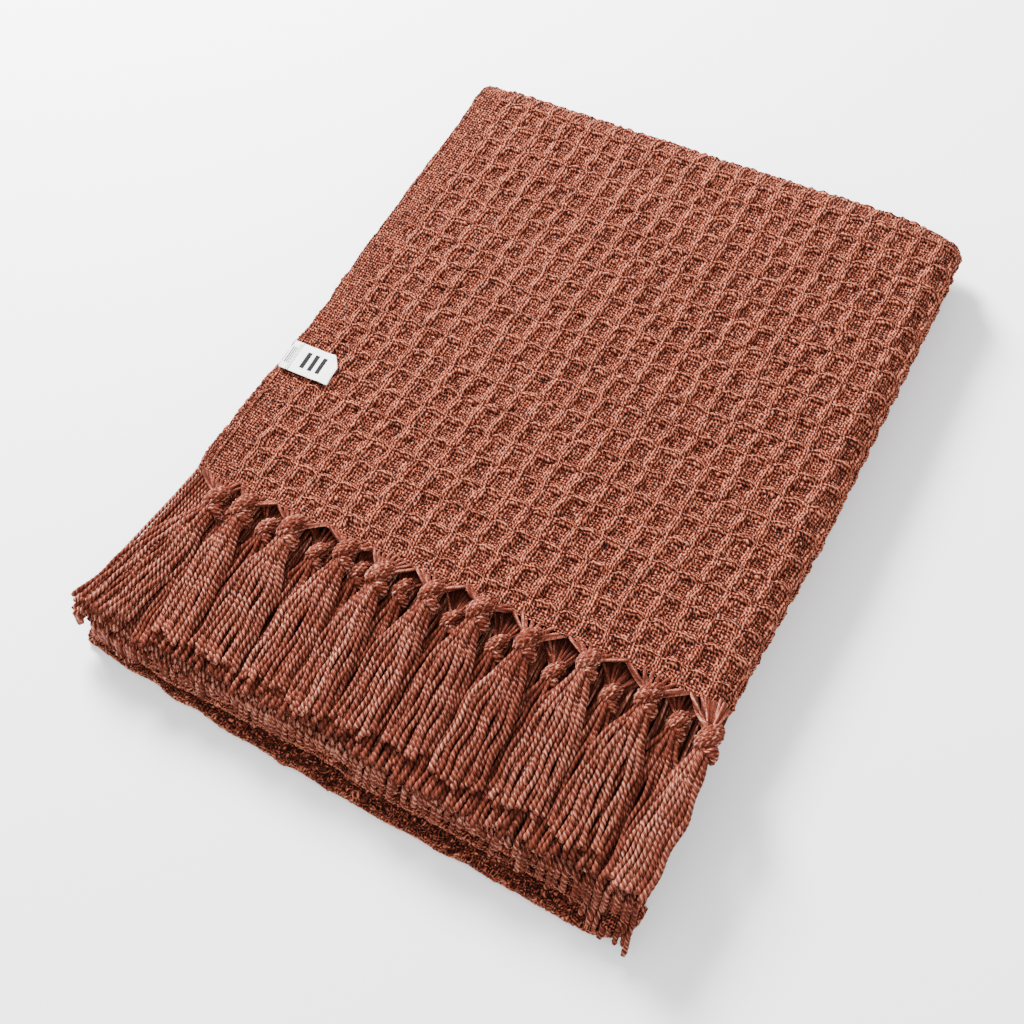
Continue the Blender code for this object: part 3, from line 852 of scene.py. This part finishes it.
def add_gathers(form, rng, knot, left, right, floor, count, tone=0.50):
    """Warp yarns that run from the cloth's end to a knot in a flat V."""
    share = np.linspace(0, 1, 9)[None, :]
    start = np.linspace(left, right, count)
    x = start[:, None] + (knot[0] - start[:, None]) * share ** 1.15 * 0.94
    y = CLOTH_END + 0.0015 + (knot[1] + 0.0015 - CLOTH_END - 0.0015) * share
    y = y + rng.normal(0, 0.0010, (count, 1)) * (1 - share)
    wander = rng.uniform(-4, 4, (count, 1)) * 1e-4
    z = floor + (knot[2] - floor) * share + 0.0006 * np.sin(math.pi * share) + wander
    lines = np.stack([x, y + 0 * x, z + 0 * x], axis=-1)
    form.tubes(lines, 0.00118, 7, lobe=0.18, twist=0.005, tone=dyed(rng, count, tone))


def fringe(yarn):
    """The top row's knots and tassels, the second row under them, and the rows below."""
    rng = np.random.default_rng(7)
    knots = []
    for number in range(1, KNOTS + 1):
        low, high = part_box(f"top_knot_{number:02d}")
        knots.append([(low[0] + high[0]) / 2, (low[1] + high[1]) / 2, (low[2] + high[2]) / 2])
    between = [(left[0] + right[0]) / 2 for left, right in zip(knots, knots[1:])]
    edges = [LEFT + straight_left(CLOTH_END) + 0.0005, *between, RIGHT - 0.003]
    made = []
    for number, knot in enumerate(knots):
        form = Form()
        add_gathers(form, rng, knot, edges[number], edges[number + 1], TOP - 0.0012, GATHERED)
        add_knot(form, rng, knot, 1.0 + rng.normal(0, 0.05))
        made.append(form.piece(f"top_knot_yarns_{number + 1:02d}", yarn, "upper_half",
                               f"top_knot_{number + 1:02d}", slot="fringe_yarn"))
        low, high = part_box(f"top_tassel_{number + 1:02d}")
        inset = 0.0012
        width = high[0] - low[0] - 2 * inset
        end_x = (high[0] + low[0]) / 2
        if number == 0:
            end_x, width = low[0] + CORNER_END, CORNER_WIDTH
        form = Form()
        add_tassel(form, rng, knot, end_x, width, TOP_SHORT * TASSEL_LENGTH, fringe_floor, **TOP_ROW)
        made.append(form.piece(f"top_tassel_cords_{number + 1:02d}", yarn, f"tassel_{number + 1:02d}",
                               f"top_tassel_{number + 1:02d}", slot="fringe_yarn"))
    for number, (left, right) in enumerate(zip(knots, knots[1:])):
        middle = [(left[0] + right[0]) / 2 + rng.normal(0, 0.0012),
                  CLOTH_END - UNDER_KNOT + rng.normal(0, 0.0015), TOP - 0.0050]
        form = Form()
        # The second row's gathers take a lower tone as painted shade under the top row.
        add_gathers(form, rng, middle, left[0] + 0.003, right[0] - 0.003, TOP - 0.0062, GATHERED, 0.34)
        add_knot(form, rng, middle, 0.86)
        add_tassel(form, rng, middle, middle[0], right[0] - left[0], TASSEL_LENGTH - 0.001,
                   lambda y: fringe_floor(y) - UNDER_THICKNESS + UNDER_LIFT, **SECOND_ROW)
        made.append(form.piece(f"under_tassel_cords_{number + 1:02d}", yarn, "upper_half",
                               f"under_tassel_{number + 1:02d}", slot="fringe_yarn"))
    return [made] + [[leaf_fringe(yarn, rng, number)] for number in range(1, LEAVES)]


def leaf_cords(form, rng, number, row, order, share):
    """Some cords of one row under a leaf, by their numbers from the left. Seen from above, each
    runs straight from its root to its end, which lies behind the second lip; at the right corner
    the ends reach over the lips. Its height falls from the leaf's to the lips' at its end."""
    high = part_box(f"fringe_of_leaf_{number + 1}")[1]
    count = len(order)
    level = LEAVES - 1 - number
    place = (order[:, None] + 0.5 * row) / LOWER_CORDS
    place = 0.52 * place + 0.48 * place ** 2
    loose = 0.25 + 0.75 * smooth(place / 0.08)
    edge = LEFT + straight_left(CLOTH_END) - UPPER_SLIPS[number] + 0.0025
    root = edge + (RIGHT - 0.002 - edge) * place
    end_x = LEFT - FLARE + (RIGHT - LEFT + FLARE) * place
    end_x = end_x + loose * rng.normal(0, 0.0013, (count, 1))
    x = root + (end_x - root) * share ** 1.2
    x = x + 0.0008 * loose * np.sin(share * 9 + rng.uniform(0, 6, (count, 1)))
    front = lip_line(end_x) + lip_step(2, end_x) + FRINGE_BACK + FRINGE_BACK_STEP * level + 0.0015 * row
    over = smooth((place - 0.88) / 0.10)
    front = front + 0.0025 * ripple(place, place, 0.2, 30 + number) - CORNER_HANG * over
    start = high[1] + FRINGE_ROOT
    y = start - (start - front) * (1 + rng.normal(0, 0.020, (count, 1))) * share
    behind = (y - lip_line(x)) / (lip_step(2, x) / LIP_STEPS[2])
    hang = smooth((behind - 0.009) / 0.0085)
    top = fringe_floor(y) - UNDER_THICKNESS
    step = (top - MIDDLE - ROWS_OVER) / (LEAVES - 1) * (0.55 + 0.45 * hang)
    low = HUNG_LOW - 0.0075 * over * smooth((0.005 - behind) / 0.006)
    floor = low + (MIDDLE + ROWS_OVER - low) * hang
    z = floor + step * level + step * (0.75 - 0.5 * row) + rng.normal(0, 0.0003, (count, 1))
    tone = dyed(rng, count, 0.50) + rng.normal(0, 0.06, (count, 1))
    form.tubes(np.stack([x, y, z], axis=-1), cord_radius(rng, count, share, CORD * 0.96), 6,
               lobe=0.17, tone=tone)


def leaf_fringe(yarn, rng, number):
    """The two rows of cords of one of the leaves below the top one. They lie flat under the
    rows above, fan out to the left, and hang over the fold lips at their ends. Only the
    leftmost cords show along their whole length, so the others have their rings at their ends."""
    whole = np.linspace(0, 1, 100)[None, :]
    late = np.concatenate([np.linspace(0, 0.72, 7)[:-1], np.linspace(0.72, 1, 54)])[None, :]
    form = Form()
    for row in range(2):
        leaf_cords(form, rng, number, row, np.arange(LEFT_CORDS), whole)
        leaf_cords(form, rng, number, row, np.arange(LEFT_CORDS, LOWER_CORDS), late)
    return form.piece(f"leaf_fringe_cords_{number + 1}", yarn, "upper_half",
                      f"fringe_of_leaf_{number + 1}", slot="fringe_yarn")


# ---------------------------------------------------------------- the label

def squared(wave):
    """A sine or cosine drawn towards 1 and -1: with both, a circle becomes nearly a rectangle."""
    return np.sign(wave) * np.abs(wave) ** 0.25


def ribbon(name, material, body, node, low, high, lift, corner):
    """A flat ribbon loop: a thin rounded section carried along X, lifted at its free end, where
    one corner slants."""
    s = np.linspace(0, 1, 30)[:, None]
    around = np.linspace(0, TURN, 28, endpoint=False)[None, :]
    slant = corner * np.clip((s - 0.80) / 0.20, 0, 1)
    width = (high[1] - low[1] - slant) / 2
    y = low[1] + width + width * squared(np.cos(around))
    thick = (high[2] - low[2]) / 2 * np.sqrt(np.clip((1.0 - s) / 0.02 + 0.05, 0, 1))
    z = (low[2] + high[2]) / 2 + LABEL_LIFT + thick * squared(np.sin(around))
    x = low[0] + (high[0] - low[0]) * s + 0 * around
    z = z + lift * s ** 2 + 0.0005 * ripple(x, y, 0.012, 21) * s
    along = (x - low[0]) / (high[0] - low[0])
    across = (y - low[1]) / (high[1] - low[1])
    form = Form()
    points = np.stack([x, y + 0 * x, z], axis=-1)
    form.sheet(points, np.stack([along, across + 0 * along], axis=-1), wrap=True)
    return form.piece(name, material, body, node, slot="label_ribbon")


def label(material, thread):
    """The ribbon's sewn end, its loose loop, and the bar of stitches."""
    low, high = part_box("label_sewn_end")
    low = (LEFT + straight_left(low[1]) + LABEL_INSET, low[1], low[2])
    ribbon("label_sewn_ribbon", material, "upper_half", "label_sewn_end", low, high, 0.0, 0.0)
    low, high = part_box("label_flap")
    loop = ribbon("label_loop", material, "label", "label_flap", low, high, 0.0016, 0.0075)
    high[0] - low[0]
    high[1] - low[1]
    low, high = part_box("label_stitches")
    form = Form()
    stitches = 9
    marks = np.linspace(low[1], high[1], stitches + 1)
    share = np.linspace(0, 1, 8)
    x = low[0] + (high[0] - low[0]) * (0.3 + 0.4 * share)
    z = high[2] + LABEL_LIFT - 0.0001 + 0.0003 * np.sin(math.pi * share)
    lines = [np.stack([x, one + (two - one) * (0.1 + 0.8 * share), z], axis=-1)
             for one, two in zip(marks, marks[1:])]
    form.tubes(np.array(lines), 0.00022, 6, tone=0.5)
    form.piece("label_seam", thread, "upper_half", "label_stitches", slot="label_thread")


# ---------------------------------------------------------------- camera, floor and light

def place_camera():
    """A 50 mm lens that looks down on the packet from the right front, a little rolled."""
    camera = bpy.data.cameras.new("camera")
    camera.lens = 50.0
    camera.sensor_width = 36.0
    holder = bpy.data.objects.new("camera", camera)
    bpy.context.scene.collection.objects.link(holder)
    azimuth, elevation, roll = math.radians(40.84), math.radians(61.18), math.radians(-13.9)
    aim = Vector((0.0205, -0.0512, 0.042))
    distance = 0.78
    back = Vector((math.sin(azimuth) * math.cos(elevation), -math.cos(azimuth) * math.cos(elevation),
                   math.sin(elevation)))
    level = Vector((math.cos(azimuth), math.sin(azimuth), 0.0))
    rise = back.cross(level)
    right = math.cos(roll) * level + math.sin(roll) * rise
    up = back.cross(right)
    turn = Matrix((right, up, back)).transposed().to_4x4()
    holder.matrix_world = Matrix.Translation(aim + distance * back) @ turn
    bpy.context.scene.camera = holder


def soft_light(name, place, size, power):
    """A square soft box at a place, turned to the origin."""
    light = bpy.data.lights.new(name, "AREA")
    light.size = size
    light.energy = power
    holder = bpy.data.objects.new(name, light)
    bpy.context.scene.collection.objects.link(holder)
    holder.location = place
    holder.rotation_euler = (-Vector(place)).to_track_quat("-Z", "Y").to_euler()


def studio():
    """A pale floor, even light all round, a soft light at the back left and a weak one at the
    front right."""
    reach = 3.0
    corners = [(-reach, -reach, 0), (reach, -reach, 0), (reach, reach, 0), (-reach, reach, 0)]
    mesh = bpy.data.meshes.new("studio_floor")
    mesh.from_pydata(corners, [], [(0, 1, 2, 3)])
    material = bpy.data.materials.new("studio_floor")
    material.use_nodes = True
    shader = material.node_tree.nodes["Principled BSDF"]
    shader.inputs["Base Color"].default_value = (0.88, 0.88, 0.885, 1)
    shader.inputs["Roughness"].default_value = 0.95
    mesh.materials.append(material)
    item = bpy.data.objects.new("studio_floor", mesh)
    bpy.context.scene.collection.objects.link(item)
    world = bpy.data.worlds.new("studio_air")
    world.use_nodes = True
    air = world.node_tree.nodes["Background"]
    air.inputs["Color"].default_value = (1.0, 1.0, 1.0, 1.0)
    air.inputs["Strength"].default_value = 1.75
    bpy.context.scene.world = world
    soft_light("key_light", (-0.9, 0.75, 0.95), 0.5, 125.0)
    soft_light("fill_light", (0.9, -0.9, 1.3), 1.2, 8.0)


place_camera()
studio()
CLOTH = cloth_finish()
YARN = cord_finish()
RIBBON = ribbon_finish()
THREAD = thread_finish()
FRINGES = fringe(YARN)
outer_cloth(CLOTH, FRINGES[0])
inner_cloth(CLOTH)
leaf_edges(CLOTH)
label(RIBBON, THREAD)
